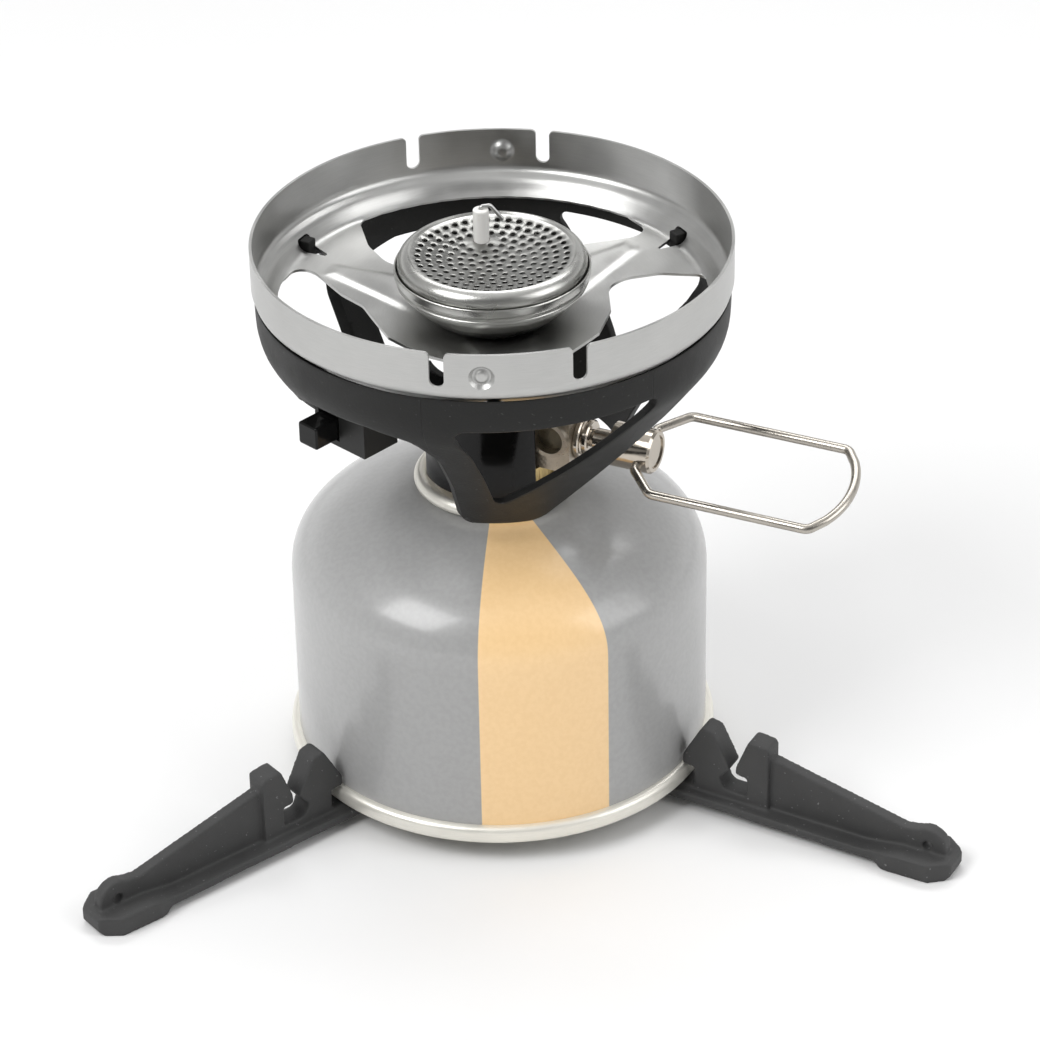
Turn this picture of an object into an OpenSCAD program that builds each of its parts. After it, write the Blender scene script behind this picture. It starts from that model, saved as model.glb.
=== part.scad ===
// Backpacking gas stove on its canister, with a folding three-legged stabiliser.
// The origin is on the floor, on the axis that the burner, the canister and the leg pivot share.
// +Z is up, and the valve points to the right and a little forward (+X, -Y).

/* [Pot ring and pan] */
// Outside diameter of the pot ring
ring_d = 98.8; // [97:0.1:99]
// Height of the ring's lip above the floor
ring_top = 124.5; // [123:0.5:126]
// Thickness of the pressed sheet
sheet_t = 0.6; // [0.4:0.1:0.8]
// Width of the slots in the ring's lip
slot_w = 3; // [2:0.5:4]
// Depth of the slots in the ring's lip
slot_depth = 7.5; // [5:0.5:8]
// Width of the three spokes between the pan's openings
spoke_w = 19; // [14:1:22]

/* [Burner head] */
// Outside radius of the head's crimped rim
head_r = 20.2; // [20:0.1:21]
// Radius of the perforated dish
dish_r = 16.9; // [15:0.1:17]
// Radius of one flame port
port_r = 0.62; // [0.4:0.02:0.7]
// Rings of flame ports round the middle one
port_rings = 7; // [3:1:7]
// Depth of the dish
dish_depth = 2; // [1:0.1:2.4]

/* [Plastic base] */
// Wall thickness of the base, measured level
base_t = 2.2; // [1.8:0.1:2.4]
// Height of the band's top edge
band_top = 114; // [113.5:0.1:114]
// Height of the band's lower edge between the feet
band_bottom = 103.7; // [103:0.1:104]

/* [Valve and handle] */
// Direction of the valve, counterclockwise from +X
valve_az = 334.5; // [330:0.5:336]
// Height of the valve's axis
valve_z = 82; // [81.5:0.1:82.5]
// Radius of the turned knob
knob_r = 4.75; // [4.2:0.05:5]
// Distance from the stove's axis to the knob's outer face
knob_end = 36.5; // [36:0.1:37.5]
// Diameter of the handle's wire
wire_d = 2; // [1.6:0.1:2]
// Width of the wire handle across the middles of its arms
handle_w = 23.6; // [20:0.1:26]
// Length of the wire handle beyond its pivot
handle_len = 45; // [38:0.5:50]
// Tilt of the handle about the valve's axis with the valve closed
handle_tilt = 15; // [0:1:20]

/* [Igniter] */
// Direction in which the igniter button points, counterclockwise from +X
igniter_az = 225.5; // [223:0.5:226]
// Width of the push button
button_w = 5.4; // [4:0.1:5.4]
// Height of the push button
button_h = 5.1; // [4:0.1:5.1]

/* [Canister] */
// Outside diameter of the canister's wall
can_d = 88.5; // [88:0.1:89]
// Outside diameter of the rolled seam at its foot
seam_d = 92; // [91.5:0.1:92]
// Height of the shoulder, where the wall turns into the dome
shoulder_z = 46.3; // [44:0.1:48]
// Height that the dome would reach on the axis
dome_z = 68.1; // [67.9:0.1:68.2]

/* [Stabiliser] */
// Directions of the left, right and rear legs, counterclockwise from +X
leg_az = [217.5, 331, 95]; // [80:0.5:345]
// Distance from the pivot to a leg's tip
leg_len = 107.5; // [106:0.5:115]
// Radius of the pivot rivet's shank
rivet_r = 2.5; // [2:0.1:3]

/* [Hidden] */
$fn = 96;
e = 0.01;
wall_t = 0.8;
running = 0.05;

// Ring and pan
ring_ro = ring_d / 2;
ring_ri = ring_ro - sheet_t;
pan_hub_z = 106.8;
spoke_az = [30, 150, 270];
opening_ro = 43.6;
slot_az = [77, 110, 257, 290];
dimple_az = [87.2, 267.3];
dimple_z = 119.5;
dimple_r = 2.75;

// Electrode
electrode_xy = [-2.2, 8.5];
electrode_r = 1.65;
electrode_top = 126.4;
electrode_foot = 101;
core_r = 0.45;
wire_az = 14;

// Stack on the stove's axis
tower_r = 5.55;
tower_top = 76.8;
cup_floor = 67.2;
collar_bottom = 70.4;
collar_top = 75;
shroud_floor = 76;
guard_r = 15.4;
guard_t = 1.8;
guard_bottom = 70.8;
guard_top = 98;
guard_az = 195;
guard_turn = 107;
body_top = 90;
tube_bottom = 94;
tube_r = 4.8;

// Valve, measured outward from the stove's axis
body_r = 11.5;
arm_len = 19.5;
arm_half = 6;
gland_bore = 4.2;
gland_in = 13;
stem_r = 1.8;
neck_r = 2.35;
knob_start = 27.3;
pivot_x = 34;
screw_x = 30.8;
screw_turn = 48;
spindle_end = 32.2;
port_x = 15.4;
port_z = 84;
chamber_r = 6;

// Base: direction from which the foot's outline is seen
foot_view = 295;

// Igniter, measured outward along its own axis
button_y = -15.15;
button_z = 88.55;
button_tip = 39.5;
button_back = 25.2;
button_gap = 0.3;
housing_back = 10.5;
housing_face = 33.4;

// Stabiliser
eye_t = 1.8;
eye_r = 7.5;
rear_level = 0.8;
left_level = 2.8;
right_level = 4.8;
seat_z = 4.7;
rear_seat_z = 5;
lug = [leg_len - 6.2, 5.7];
lug_r = 4.3;
lug_hole_r = 1.1;
web_half = 1.4;
hook_half = 2.6;

// ---------- helpers ----------

function unit(v) = v / norm(v);

// Arc that rounds the corner p1 between p0 and p2 to radius r
function corner(p0, p1, p2, r, n = 6) =
    let (a = unit(p0 - p1), b = unit(p2 - p1), half = acos(a * b) / 2)
    let (c = p1 + unit(a + b) * r / sin(half), t0 = p1 + a * r / tan(half) - c)
    let (t1 = p1 + b * r / tan(half) - c, a0 = atan2(t0.y, t0.x), a1 = atan2(t1.y, t1.x))
    let (da = (a1 - a0 + 540) % 360 - 180)
    [for (i = [0:n]) c + r * [cos(a0 + da * i / n), sin(a0 + da * i / n)]];

// Outline whose points are [x, y, corner radius]
function rounded(p) =
    let (n = len(p), xy = [for (q = p) [q[0], q[1]]])
    [for (i = [0:n - 1])
        each p[i][2] > 0 ? corner(xy[(i + n - 1) % n], xy[i], xy[(i + 1) % n], p[i][2]) : [xy[i]]];

// Rings of points, each a closed loop, joined into one closed tube
module tube_mesh(rings) {
    m = len(rings);
    k = len(rings[0]);
    side = [for (i = [0:m - 2], j = [0:k - 1])
        let (a = i * k + j, b = i * k + (j + 1) % k)
        each [[a, b, b + k], [a, b + k, a + k]]];
    ends = [[for (j = [k - 1:-1:0]) j], [for (j = [0:k - 1]) (m - 1) * k + j]];
    polyhedron(points = [for (r = rings) each r], faces = concat(side, ends), convexity = 8);
}

// Coil spring along +Z
module coil(r, wire_r, length, turns, per_turn = 12, sides = 6) {
    steps = turns * per_turn;
    tube_mesh([for (i = [0:steps])
        let (a = 360 * i / per_turn, z = wire_r + (length - 2 * wire_r) * i / steps)
        [for (j = [0:sides - 1])
            let (b = -360 * j / sides, q = r + wire_r * cos(b))
            [q * cos(a), q * sin(a), z + wire_r * sin(b)]]]);
}

// Round tube swept along a list of points
module swept(path, r, sides = 8) {
    n = len(path);
    tube_mesh([for (i = [0:n - 1])
        let (t = unit(path[min(i + 1, n - 1)] - path[max(i - 1, 0)]))
        let (u = unit(cross(t, [0.3, 0.2, 0.93])), v = cross(t, u))
        [for (j = [0:sides - 1])
            let (b = 360 * j / sides)
            path[i] + r * (cos(b) * u + sin(b) * v)]]);
}

// Flat shape stood up and pushed outward from the axis, in the direction az
module outward(az, from, to) {
    rotate([0, 0, az]) translate([from, 0, 0]) rotate([90, 0, 90]) linear_extrude(to - from) children();
}

// Cylinder that lies along the valve's axis
module along_valve(from, to, r) {
    rotate([0, 0, valve_az]) translate([from, 0, valve_z]) rotate([0, 90, 0]) cylinder(r = r, h = to - from);
}

// ---------- canister ----------

function dome(r, top, bottom, n = 20) =
    [for (i = [0:n]) let (a = 64 * i / n) [r * pow(cos(a), 1.17), bottom + (top - bottom) * pow(sin(a), 0.79)]];

module canister_body() {
    can_r = can_d / 2;
    outer = dome(can_r, dome_z, shoulder_z);
    inner = dome(can_r - wall_t, dome_z - wall_t, shoulder_z);
    color([0.68, 0.68, 0.68])
    rotate_extrude()
        polygon(concat([[can_r - wall_t, 9], [can_r, 9]], outer, [[15.4, 66.9], [14.6, 66.9], [14.6, 66.2]],
                       [for (i = [len(inner) - 1:-1:0]) inner[i]]));
}

module canister_base() {
    seam_r = seam_d / 2;
    can_r = can_d / 2;
    color([0.80, 0.78, 0.72])
    rotate_extrude()
        polygon([[seam_r, 6], [seam_r, 8], [seam_r - 0.8, 9], [can_r - wall_t, 9], [can_r - 1.1, 11.4],
                 [40, 12.8], [20, 14.9], [0, 15.5], [0, 14.7], [20, 14.1], [39.8, 12], [42.2, 10.9],
                 [42.6, 6], [43.4, 5], [seam_r - 1, 5]]);
}

module canister_valve_cup() {
    color([0.82, 0.81, 0.78])
    difference() {
        rotate_extrude()
            polygon([[0, 66.4], [14.4, 66.4], [14.4, 67.4], [15, 67], [17.2, 67], [17.6, 68.2], [17.2, 69.4],
                     [16.3, 70], [15.2, 69.6], [14.4, 68.6], [13.6, cup_floor], [tower_r, cup_floor],
                     [tower_r, tower_top], [0, tower_top]]);
        translate([0, 0, 70]) cylinder(r = 1.5, h = 10);
    }
}

module canister_valve_stem() {
    color([0.2, 0.2, 0.2])
    translate([0, 0, 70]) cylinder(r = 1.5, h = 5.6);
}

// ---------- stabiliser ----------

module leg(level, bore, seat) {
    flange_plan = [[23, -3.5], [40, -5], [91, -5.6], [94, -6.2], [leg_len - 4, -6.2], [leg_len, -3], [leg_len, 3],
                   [leg_len - 4, 6.2], [94, 6.2], [91, 5.6], [40, 5], [23, 3.5]];
    flange_side = [[23, 2.4], [91, 1.3], [92.5, 0], [leg_len - 1, 0], [leg_len, 1], [leg_len, 3.6],
                   [leg_len - 0.8, 4.4], [96, 4.4], [88, 3.3], [23, 4.4]];
    web = rounded([[59, 3, 0], [64, 16.6, 0], [96, 8.9, 4], [lug.x - 1, 9.6, 0], [lug.x, 3, 0]]);
    hooks = rounded([[43.4, 3.4, 0.5], [43.4, seat, 0], [47.8, seat, 0.6], [47.8, 9.5, 0], [45, 9.5, 0.5],
                     [45, 12, 0.8], [49.4, 20, 1], [52.2, 19.4, 1], [56.2, 11.4, 1], [53.8, 8.6, 1], [54.8, 6, 1.6],
                     [60.2, 5.8, 0.6], [60.2, 10.2, 0], [57.4, 10.6, 0.6], [57.6, 12.6, 0.8], [60.4, 19.8, 0.9],
                     [65.2, 19.2, 1], [65.2, 3, 0], [60.4, 3, 0], [60.4, 3.8, 0], [50, 3.8, 0]]);
    // Eye, arm at its own level and riser to the flange
    difference() {
        union() {
            translate([0, 0, level]) cylinder(r = eye_r, h = eye_t);
            translate([0, -3.5, level]) cube([27, 7, eye_t]);
            translate([23, -3.5, min(level, 2.4)]) cube([4, 7, max(level + eye_t, 4.3) - min(level, 2.4)]);
            intersection() {
                linear_extrude(10) polygon(flange_plan);
                translate([0, 7, 0]) rotate([90, 0, 0]) linear_extrude(14) polygon(flange_side);
            }
            translate([0, web_half, 0]) rotate([90, 0, 0]) linear_extrude(2 * web_half) polygon(web);
            translate([lug.x, web_half, lug.y]) rotate([90, 0, 0]) cylinder(r = lug_r, h = 2 * web_half);
            translate([0, hook_half, 0]) rotate([90, 0, 0]) linear_extrude(2 * hook_half) polygon(hooks);
        }
        translate([0, 0, level - 1]) cylinder(r = bore, h = eye_t + 2);
        translate([lug.x, 10, lug.y]) rotate([90, 0, 0]) cylinder(r = lug_hole_r, h = 20);
    }
}

module leg_rear() {
    color([0.13, 0.13, 0.13]) rotate([0, 0, leg_az[2]]) leg(rear_level, rivet_r, rear_seat_z);
}

module leg_left() {
    color([0.13, 0.13, 0.13]) rotate([0, 0, leg_az[0]]) leg(left_level, rivet_r + running, seat_z);
}

module leg_right() {
    color([0.13, 0.13, 0.13]) rotate([0, 0, leg_az[1]]) leg(right_level, rivet_r + running, seat_z);
}

module pivot_rivet() {
    color([0.7, 0.7, 0.7])
    union() {
        cylinder(r = 6, h = rear_level);
        cylinder(r = rivet_r, h = 8);
        translate([0, 0, 7.6]) cylinder(r1 = 5, r2 = 4.2, h = 1.2);
    }
}

module pivot_washer() {
    color([0.75, 0.75, 0.75])
    difference() {
        translate([0, 0, 6.9]) cylinder(r = 6, h = 0.7);
        translate([0, 0, 6]) cylinder(r = rivet_r, h = 3);
    }
}

// ---------- connection to the canister ----------

module canister_seal() {
    color([0.1, 0.1, 0.1])
    difference() {
        translate([0, 0, 67.6]) cylinder(r = 7.4, h = 2.4);
        translate([0, 0, 67]) cylinder(r = tower_r + 0.1, h = 4);
    }
}

module canister_collar() {
    knurl_count = 40;
    color([0.62, 0.52, 0.26])
    difference() {
        union() {
            translate([0, 0, collar_bottom]) cylinder(r1 = 12, r2 = 12.8, h = 0.8);
            translate([0, 0, collar_bottom + 0.8]) cylinder(r = 12.8, h = collar_top - collar_bottom - 0.8);
            translate([0, 0, collar_top]) cylinder(r = 8, h = shroud_floor - collar_top);
        }
        translate([0, 0, collar_bottom - 1]) cylinder(r = tower_r + 0.1, h = 8);
        for (i = [0:knurl_count - 1])
            rotate([0, 0, i * 360 / knurl_count]) translate([13.2, 0, collar_bottom + 0.8])
                cylinder(r = 0.6, h = 3.2, $fn = 16);
    }
}

module regulator_shroud() {
    // Curved guard that stands between the valve body and the front foot
    inner_r = guard_r - guard_t;
    color([0.06, 0.06, 0.06])
    rotate([0, 0, guard_az]) union() {
        rotate_extrude(angle = guard_turn)
            polygon([[inner_r, guard_bottom], [guard_r, guard_bottom], [guard_r, guard_top], [inner_r, guard_top]]);
        // Floor that the collar and the valve body clamp
        difference() {
            rotate_extrude(angle = guard_turn)
                translate([8, collar_top]) square([inner_r - 7.5, shroud_floor - collar_top]);
            cylinder(r = 8, h = 100);
        }
    }
}

// ---------- valve ----------

module valve_body() {
    color([0.72, 0.68, 0.60])
    difference() {
        union() {
            translate([0, 0, shroud_floor]) cylinder(r = body_r, h = body_top - shroud_floor);
            translate([0, 0, body_top]) cylinder(r = 7.5, h = tube_bottom - body_top);
            rotate([0, 0, valve_az]) translate([0, -arm_half, shroud_floor])
                cube([arm_len, 2 * arm_half, body_top - shroud_floor]);
            rotate([0, 0, valve_az]) translate([port_x, -arm_half + e, port_z]) rotate([90, 0, 0])
                cylinder(r = 4.1, h = 1.6);
        }
        // Socket for the canister's threaded tower
        translate([0, 0, 75]) cylinder(r = tower_r + 0.1, h = 3.4);
        translate([0, 0, 75]) cylinder(r = 1.1, h = 8);
        // Needle bore, gland seat and the gas way up to the jet
        along_valve(2, gland_in, 3);
        along_valve(gland_in, arm_len + 1, gland_bore);
        translate([0, 0, valve_z]) cylinder(r = 1, h = 6);
        translate([0, 0, valve_z + 6]) cylinder(r = 2, h = 10);
        // Regulator chamber at the back
        along_valve(-body_r - 3, -5.5, chamber_r);
        // Side port
        rotate([0, 0, valve_az]) translate([port_x, -4.6, port_z]) rotate([90, 0, 0]) cylinder(r = 3.2, h = 5);
    }
}

module pin_depressor() {
    color([0.75, 0.6, 0.3])
    translate([0, 0, 77]) cylinder(r = 1.1, h = 3);
}

module port_plug() {
    color([0.66, 0.56, 0.38])
    rotate([0, 0, valve_az]) translate([port_x, -4.6, port_z]) rotate([90, 0, 0]) cylinder(r = 3.2, h = 1);
}

module regulator_cap() {
    color([0.72, 0.68, 0.60])
    union() {
        along_valve(-13, -body_r, 7);
        along_valve(-body_r, -9.6, chamber_r);
    }
}

module regulator_spring() {
    color([0.75, 0.75, 0.75])
    rotate([0, 0, valve_az]) translate([-9.6, 0, valve_z]) rotate([0, 90, 0]) coil(3, 0.35, 3.2, 3);
}

module regulator_diaphragm() {
    color([0.1, 0.1, 0.1])
    along_valve(-6.4, -5.6, chamber_r);
}

module gland_nut() {
    color([0.72, 0.68, 0.60])
    difference() {
        union() {
            along_valve(gland_in + 2.4, arm_len, gland_bore);
            along_valve(arm_len, arm_len + 1.3, 5);
            along_valve(arm_len + 1.3, arm_len + 2.7, 3.8);
        }
        along_valve(gland_in, arm_len + 3, stem_r + running);
    }
}

module spindle_oring() {
    color([0.08, 0.08, 0.08])
    difference() {
        along_valve(gland_in + 0.2, gland_in + 1.4, gland_bore - 0.1);
        along_valve(gland_in, gland_in + 2, stem_r + 0.1);
    }
}

module valve_spindle() {
    color([0.75, 0.72, 0.66])
    union() {
        rotate([0, 0, valve_az]) translate([3, 0, valve_z]) rotate([0, 90, 0]) cylinder(r1 = 0.6, r2 = stem_r, h = 3);
        along_valve(6, arm_len + 3.4, stem_r);
        along_valve(arm_len + 3.4, knob_start, neck_r);
        along_valve(knob_start, spindle_end, 2);
    }
}

// Direction of the hole for the wire, across the knob
module across_knob(x, turn) {
    rotate([0, 0, valve_az]) translate([x, 0, valve_z]) rotate([turn, 0, 0]) rotate([-90, 0, 0]) children();
}

module control_knob() {
    color([0.76, 0.73, 0.67])
    difference() {
        union() {
            along_valve(knob_start, knob_end - 0.5, knob_r);
            rotate([0, 0, valve_az]) translate([knob_end - 0.5, 0, valve_z]) rotate([0, 90, 0])
                cylinder(r1 = knob_r, r2 = knob_r - 0.5, h = 0.5);
        }
        along_valve(knob_start - 1, spindle_end, 2);
        along_valve(knob_end - 0.3, knob_end + 1, 3.5);
        across_knob(pivot_x, handle_tilt) translate([0, 0, -10]) cylinder(r = wire_d / 2 + running, h = 20);
        across_knob(screw_x, handle_tilt - screw_turn) mirror([0, 0, 1]) cylinder(r = 0.95, h = 10);
    }
}

module set_screw() {
    color([0.3, 0.3, 0.3])
    across_knob(screw_x, handle_tilt - screw_turn) translate([0, 0, -3.8]) cylinder(r = 0.95, h = 1.7);
}

// Middle line of one half of the wire, from inside the knob to the middle of the rounded end
function half_loop() =
    let (half = handle_w / 2, near_y = knob_r + 1.4, end_r = 17, end_y = 8.5)
    let (end = [for (y = [end_y:-end_y / 4:0]) [handle_len - end_r + sqrt(end_r * end_r - y * y), y]])
    let (p = [[0, 1.6], [0, near_y], [half - near_y, half], [handle_len - 4.8, half], end[0]])
    concat([p[0]], corner(p[0], p[1], p[2], 1.6), corner(p[1], p[2], p[3], 2.4),
           corner(p[2], p[3], p[4], 2.2), end);

module wire_handle() {
    one = half_loop();
    n = len(one);
    other = [for (i = [n - 2:-1:0]) [one[i].x, -one[i].y]];
    color([0.74, 0.72, 0.68])
    rotate([0, 0, valve_az]) translate([pivot_x, 0, valve_z]) rotate([handle_tilt, 0, 0])
        swept([for (q = concat(one, other)) [q.x, q.y, 0]], wire_d / 2, 12);
}

// ---------- burner ----------

module jet() {
    color([0.80, 0.65, 0.30])
    difference() {
        union() {
            translate([0, 0, tube_bottom - 3]) cylinder(r = 2, h = 3);
            translate([0, 0, tube_bottom]) cylinder(r = 2.6, h = 1.6, $fn = 6);
            translate([0, 0, tube_bottom + 1.6]) cylinder(r1 = 2, r2 = 1.2, h = 1.2);
        }
        translate([0, 0, tube_bottom - 4]) cylinder(r = 0.5, h = 8);
    }
}

module mixing_tube() {
    color([0.78, 0.74, 0.66])
    difference() {
        union() {
            translate([0, 0, tube_bottom]) cylinder(r = 6.5, h = 2);
            translate([0, 0, tube_bottom]) cylinder(r = tube_r, h = 14);
        }
        translate([0, 0, tube_bottom - 1]) cylinder(r = 3.8, h = 20);
        for (i = [0:3]) rotate([0, 0, 45 + 90 * i]) translate([0, 0, tube_bottom + 4]) rotate([0, 90, 0])
            cylinder(r = 1.6, h = 10);
    }
}

module lock_nut() {
    color([0.75, 0.75, 0.75])
    difference() {
        translate([0, 0, pan_hub_z - sheet_t - 3]) cylinder(r = 7.4, h = 3, $fn = 6);
        translate([0, 0, 90]) cylinder(r = tube_r, h = 20);
    }
}

module pan_profile() {
    polygon([[ring_ro, ring_top], [ring_ro, 115.3], [48.7, 114.3], [46.9, 113.1], [45.5, 111.5], [44.2, 110],
             [26, 108], [13, pan_hub_z - sheet_t], [tube_r, pan_hub_z - sheet_t], [tube_r, pan_hub_z],
             [13, pan_hub_z], [26, 108.6], [44, 110.6], [45.1, 112], [46.5, 113.6], [48, 114.7],
             [ring_ri, 115.6], [ring_ri, ring_top]]);
}

// Opening between two spokes; its points are [direction from the spoke before it, distance, corner radius]
module opening() {
    side = asin(spoke_w / 2 / opening_ro);
    ends = [[side - 1.5, opening_ro - 0.8, 2], [side - 2, 39.5, 3], [side + 9, 31.5, 0], [side + 16, 26.8, 4],
            [60, 24.6, 0], [84, 24.2, 0], [119 - side, 24.8, 4], [122.5 - side, 29, 0], [119 - side, 36, 0],
            [112 - side, opening_ro, 3]];
    outline = concat(ends, [for (a = [92:-9:20]) [a, opening_ro, 0]]);
    polygon(rounded([for (p = outline) [p[1] * cos(p[0]), p[1] * sin(p[0]), p[2]]]));
}

module burner_pan() {
    color([0.74, 0.74, 0.73])
    difference() {
        union() {
            rotate_extrude($fn = 144) pan_profile();
            // Dimples pressed inward that hold the pot
            for (az = dimple_az) rotate([0, 0, az]) translate([ring_ri - 0.8, 0, dimple_z]) rotate([0, 90, 0])
                cylinder(r1 = 1.3, r2 = dimple_r, h = 1);
        }
        for (az = dimple_az) rotate([0, 0, az]) translate([ring_ri - 0.25, 0, dimple_z]) rotate([0, 90, 0])
            cylinder(r = 1.9, h = 2);
        for (az = slot_az) outward(az, 40, 60) union() {
            translate([-slot_w / 2, ring_top - slot_depth + slot_w / 2]) square([slot_w, slot_depth]);
            translate([0, ring_top - slot_depth + slot_w / 2]) circle(r = slot_w / 2);
        }
        for (az = spoke_az) rotate([0, 0, az]) translate([0, 0, 100]) linear_extrude(15) opening();
        // Clip holes in the spokes
        for (az = spoke_az) rotate([0, 0, az]) translate([0, 0, 100]) linear_extrude(15)
            polygon([[40.2, -0.4], [46.2, -2.6], [46.2, 2.6], [40.2, 0.4]]);
        translate([electrode_xy.x, electrode_xy.y, 100]) cylinder(r = electrode_r + 0.2, h = 10);
    }
}

module burner_bowl() {
    rim_z = 118.2;
    color([0.70, 0.70, 0.69])
    difference() {
        rotate_extrude()
            polygon([[tube_r, pan_hub_z], [10.4, pan_hub_z], [12.2, 107.6], [15.6, 110.4], [18.2, 113], [18.7, 114.2],
                     [19.6, 114.6], [19.8, 115.4], [19.4, 115.9], [20, 116.3], [head_r, 117], [head_r, rim_z - 0.3],
                     [head_r - 0.2, rim_z], [head_r - 0.5, rim_z], [head_r - 0.6, 116.2], [18.6, 116.2],
                     [18.2, 115], [17.6, 113.4], [15.2, 111], [11.8, 108.2], [10.2, pan_hub_z + 0.5],
                     [tube_r, pan_hub_z + 0.5]]);
        translate([electrode_xy.x, electrode_xy.y, 100]) cylinder(r = electrode_r + 0.1, h = 12);
    }
}

module burner_cap() {
    top = 121.2;
    t = 0.4;
    out_r = head_r - 0.7;
    round_r = 2.3;
    floor_z = top - 0.4 - dish_depth / 2;
    pitch = (dish_r - 1.6) / port_rings;
    shoulder = [for (a = [0:15:90]) [out_r - round_r + round_r * cos(a), top - round_r + round_r * sin(a)]];
    under = [for (a = [90:-15:0])
        [out_r - round_r + (round_r - t) * cos(a), top - round_r + (round_r - t) * sin(a)]];
    color([0.66, 0.66, 0.65])
    difference() {
        rotate_extrude()
            polygon(concat([[out_r - t, 116.2], [out_r, 116.2]], shoulder,
                           [[dish_r, top - 0.4], [dish_r - 0.6, floor_z], [0, floor_z], [0, floor_z - t],
                            [dish_r - 0.5, floor_z - t]], under));
        translate([0, 0, 110]) linear_extrude(15) union() {
            for (k = [0:port_rings], i = [0:max(6 * k - 1, 0)])
                let (a = k > 0 ? 360 * i / (6 * k) + 11 * k : 0, p = pitch * k * [cos(a), sin(a)])
                if (norm(p - electrode_xy) > electrode_r + port_r + 0.3) translate(p) circle(r = port_r, $fn = 24);
            translate(electrode_xy) circle(r = electrode_r + 0.1);
        }
    }
}

module electrode_ceramic() {
    color([0.93, 0.93, 0.91])
    difference() {
        translate([electrode_xy.x, electrode_xy.y, electrode_foot]) union() {
            cylinder(r = electrode_r, h = electrode_top - electrode_foot - 0.4);
            translate([0, 0, electrode_top - electrode_foot - 0.4]) cylinder(r1 = electrode_r, r2 = 1.3, h = 0.4);
        }
        translate([electrode_xy.x, electrode_xy.y, 90]) cylinder(r = core_r, h = 50);
    }
}

// Core wire that bends over the ceramic's rim and points down at the dish
module electrode_wire() {
    top = electrode_top + 0.5;
    foot = [0, electrode_foot - 1];
    tip = [4.6, top - 3.6];
    line = concat([foot], corner(foot, [0, top], [2, top], 0.5), corner([0, top], [2, top], tip, 0.8), [tip]);
    color([0.70, 0.69, 0.67])
    translate([electrode_xy.x, electrode_xy.y, 0]) rotate([0, 0, wire_az])
        swept([for (p = line) [p.x, 0, p.y]], core_r, 12);
}

// ---------- igniter ----------

module ignition_lead() {
    // Route from the back of the igniter over the guard to the foot of the electrode
    back = [-18.3, 3.6, 88.5];
    foot = [electrode_xy.x, electrode_xy.y, electrode_foot - 1.02];
    legs = [back, [-17, 4.6, 88.6], [-16.4, 7.4, 91.5], [-14.5, 9.6, 95], [-10.5, 11, 96.6], [-6.5, 10.6, 96.2],
            [-3.2, 9.3, 96.9], [electrode_xy.x, electrode_xy.y, 98.6], foot];
    color([0.05, 0.05, 0.05]) swept(legs, 0.9);
}

module igniter_housing() {
    hw = button_w / 2 + button_gap;
    hh = button_h / 2 + button_gap;
    color([0.09, 0.09, 0.09])
    rotate([0, 0, igniter_az])
    difference() {
        union() {
            translate([housing_back, -19.2, 84.4]) cube([housing_face - housing_back, 8, 8.3]);
            translate([24, -11.2 - e, 84.4]) cube([housing_face - 24, 6.4 + e, 17]);
            translate([26, -16.5, 92.7 - e]) cube([8.6, 5.4, 11 + e]);
            // Rib that reaches out under the band
            translate([34.5, -15.8, 100.4]) cube([5.2, 4, band_bottom - 100.4]);
        }
        translate([17.2, button_y - hw, button_z - hh]) cube([30, 2 * hw, 2 * hh]);
        translate([housing_back - 1, button_y, button_z]) rotate([0, 90, 0]) cylinder(r = 2.4, h = 10);
    }
}

module piezo_button() {
    w = button_w / 2;
    h = button_h / 2;
    color([0.05, 0.05, 0.05])
    rotate([0, 0, igniter_az]) translate([button_back, button_y, button_z]) rotate([90, 0, 90])
        linear_extrude(button_tip - button_back)
            polygon(rounded([[-w, -h, 0.6], [w, -h, 0.6], [w, h, 0.6], [-w, h, 0.6]]));
}

module piezo_spring() {
    color([0.75, 0.75, 0.75])
    rotate([0, 0, igniter_az]) translate([17.6, button_y, button_z]) rotate([0, 90, 0]) coil(1.7, 0.25, 7.4, 5);
}

module piezo_crystal() {
    color([0.75, 0.72, 0.62])
    rotate([0, 0, igniter_az]) translate([housing_back + 0.5, button_y, button_z]) rotate([0, 90, 0])
        cylinder(r = 2.4, h = 6.4);
}

// ---------- base ----------

module base_shell() {
    outer = [[48.9, band_top], [48.7, 108], [48.1, 105], [47.2, 103], [45.9, 101], [44.4, 98.8], [28, 73.2]];
    // The top edge slopes inward under the pan's rolled shoulder
    rotate_extrude($fn = 144)
        polygon(concat(outer, [for (i = [len(outer) - 1:-1:1]) outer[i] - [base_t, 0]],
                       [[46.6, band_top - 1.5], [48.4, band_top]]));
}

// Side view of one foot and its strut, seen from the direction foot_view
module foot_outline() {
    polygon(rounded([[-46, 104.4, 0], [-40, 103.5, 3], [-33, 101.6, 8], [-27.4, 96, 12], [-22.6, 86, 20],
                     [-17.6, 72.9, 3.5], [-3.6, 72.9, 5], [16.3, 94, 20], [27, 101.8, 12], [35, 103.6, 3],
                     [42, 104.4, 0]]));
}

module window_outline() {
    polygon(rounded([[-29.5, 106.4, 2], [16.2, 107, 1.4], [9, 100.6, 8], [-5.6, 87.6, 8], [-13.6, 79.8, 1.8],
                     [-18.4, 90, 6], [-22.6, 98, 6]]));
}

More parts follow.
